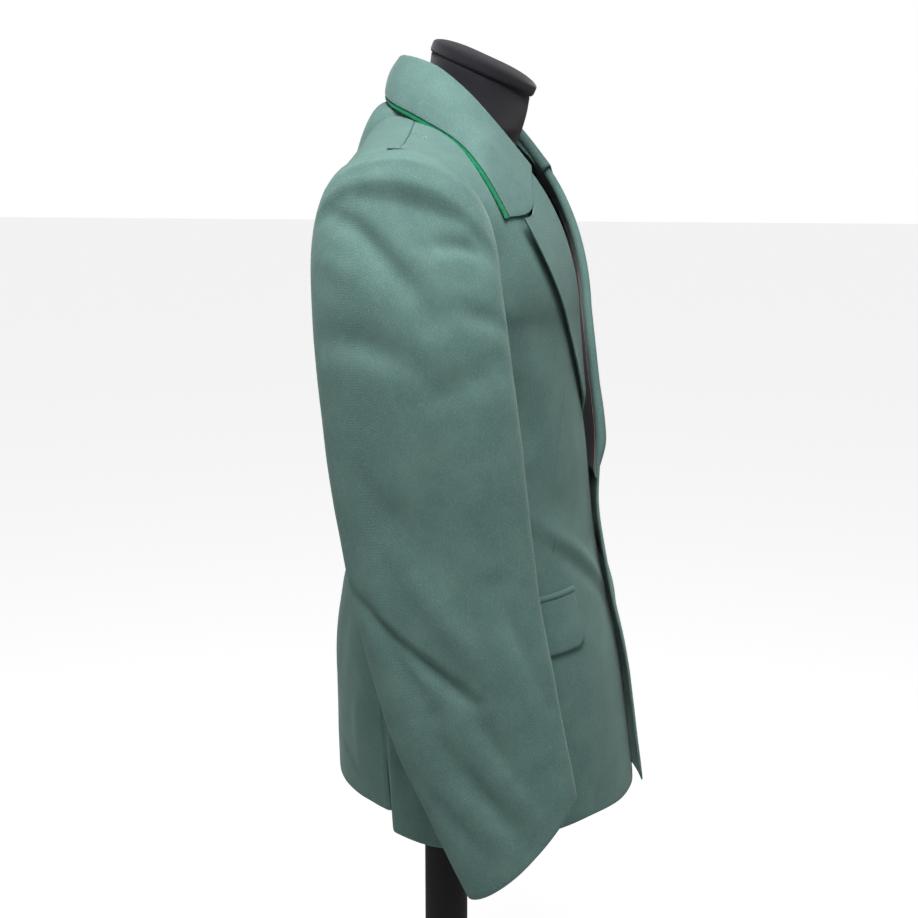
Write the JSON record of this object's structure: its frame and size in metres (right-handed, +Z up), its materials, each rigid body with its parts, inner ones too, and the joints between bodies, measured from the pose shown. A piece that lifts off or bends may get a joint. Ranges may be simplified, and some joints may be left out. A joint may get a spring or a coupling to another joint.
{
  "type": "military tunic on dress form",
  "caption": "Green military tunic with open lapels and a felt-backed collar, buttonless, hanging on a black limbless dress form with a pole stand.",
  "frame": {"origin": "centre of the stand's foot, on the floor", "axes": "+Z up, the wearer faces -Y, the wearer's left is +X"},
  "size_m": [0.602, 0.4177, 1.4624],
  "materials": {
    "tunic_cloth": "fine matt green gabardine",
    "collar_cloth": "fine matt green cloth, paler than the body",
    "collar_felt": "bright green felt",
    "lining_satin": "dark plum satin",
    "piping": "pale pink piping",
    "form_cover": "black jersey cover",
    "stand_black": "black, slightly glossy"
  },
  "bodies": {
    "root": {"front_right": "tunic_cloth", "side_right": "tunic_cloth", "back_right": "tunic_cloth", "sleeve_upper_right": "tunic_cloth", "sleeve_under_right": "tunic_cloth", "facing_right": "tunic_cloth", "pocket_flap_right": "tunic_cloth", "pocket_jet_right": "tunic_cloth", "shoulder_loop_right": "tunic_cloth", "lining_right": "lining_satin", "facing_piping_right": "piping", "front_left": "tunic_cloth", "side_left": "tunic_cloth", "back_left": "tunic_cloth", "sleeve_upper_left": "tunic_cloth", "sleeve_under_left": "tunic_cloth", "facing_left": "tunic_cloth", "pocket_flap_left": "tunic_cloth", "pocket_jet_left": "tunic_cloth", "shoulder_loop_left": "tunic_cloth", "lining_left": "lining_satin", "facing_piping_left": "piping", "collar_upper": "collar_cloth", "collar_under": "collar_felt", "form_torso": "form_cover", "form_neck_cap": "stand_black", "form_pole": "stand_black", "form_foot": "stand_black"}
  },
  "joints": []
}
